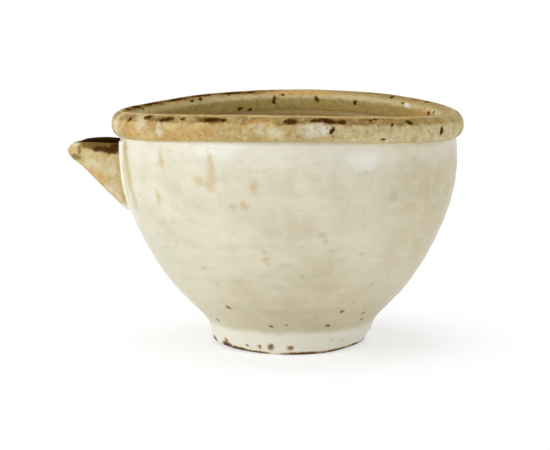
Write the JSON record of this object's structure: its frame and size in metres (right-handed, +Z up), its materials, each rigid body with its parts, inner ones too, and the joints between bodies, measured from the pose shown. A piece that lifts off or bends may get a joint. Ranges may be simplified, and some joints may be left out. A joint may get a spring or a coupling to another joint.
{
  "type": "katakuchi sake pourer",
  "caption": "Hand-thrown white-glazed stoneware pouring bowl with a thick rolled brown rim, a small beak spout luted under it and a low foot ring; holds and pours sake.",
  "frame": {"origin": "on the bowl's axis, on the table under the foot ring", "axes": "+Z up along the bowl's axis, -X towards the tip of the spout"},
  "size_m": [0.1507, 0.133, 0.0904],
  "materials": {
    "clay": "bare iron-bearing stoneware, matt",
    "rim_glaze": "thin ochre glaze breaking to brown, satin",
    "spout_glaze": "thin olive-brown glaze, satin",
    "white_glaze": "cream-white slip under clear glaze, satin gloss",
    "inner_glaze": "thin grey-olive glaze with specks, satin gloss"
  },
  "bodies": {
    "root": {"thrown_bowl": "clay", "rolled_rim": "rim_glaze", "pouring_spout": "spout_glaze", "spout_luting": "white_glaze", "foot_ring": "clay", "outer_glaze": "white_glaze", "inner_glaze": "inner_glaze"}
  },
  "joints": []
}
